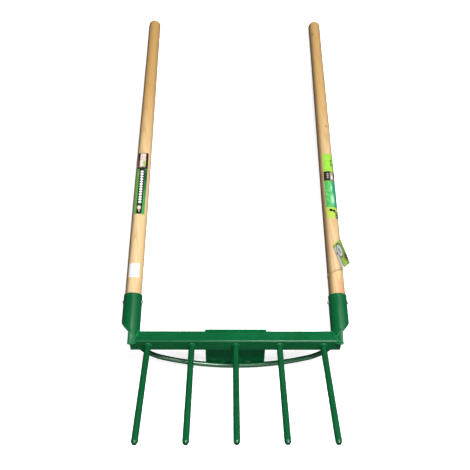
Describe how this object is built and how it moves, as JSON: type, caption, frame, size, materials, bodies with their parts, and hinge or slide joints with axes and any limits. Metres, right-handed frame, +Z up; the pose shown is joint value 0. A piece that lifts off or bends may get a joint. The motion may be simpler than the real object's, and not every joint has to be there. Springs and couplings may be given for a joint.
{
  "type": "lawn aerator fork",
  "caption": "Two-handled lawn aerator fork: green steel bar with round tines, a bow and foot plate behind it, and wooden handles in sockets.",
  "frame": {"origin": "on the floor the fork lies on, on its plane of symmetry, halfway between the tines' tips and the grips' ends", "axes": "+Z up from the floor, +Y from the tines to the grips, +X to the right along the crossbar"},
  "size_m": [0.5405, 1.2298, 0.2345],
  "materials": {
    "green_paint": "semi-gloss green enamel",
    "ash_wood": "clear satin lacquer",
    "rivet_steel": "satin zinc plate",
    "printed_label": "glossy print",
    "white_sticker": "satin",
    "printed_card": "glossy print",
    "string": "matte twine"
  },
  "bodies": {
    "fork": {"bow": "green_paint", "bow_welds": "green_paint", "crossbar": "green_paint", "foot_plate": "green_paint", "handle_left": "ash_wood", "handle_right": "ash_wood", "label_left": "printed_label", "label_right": "printed_label", "plate_welds": "green_paint", "price_sticker": "white_sticker", "rivet_left": "rivet_steel", "rivet_right": "rivet_steel", "socket_left": "green_paint", "socket_right": "green_paint", "socket_welds": "green_paint", "tag_string": "string", "tine_1": "green_paint", "tine_2": "green_paint", "tine_3": "green_paint", "tine_4": "green_paint", "tine_5": "green_paint", "tine_welds": "green_paint"},
    "tag": {"hang_tag": "printed_card", "tag_tie": "string"}
  },
  "joints": [
    {"name": "tag_flip", "type": "hinge", "parent": "fork", "child": "tag", "pos_m": [0.25569, -0.20935, 0.10614], "axis": [0.8257, 0.2251, -0.5172], "range_deg": [0, 90]}
  ]
}
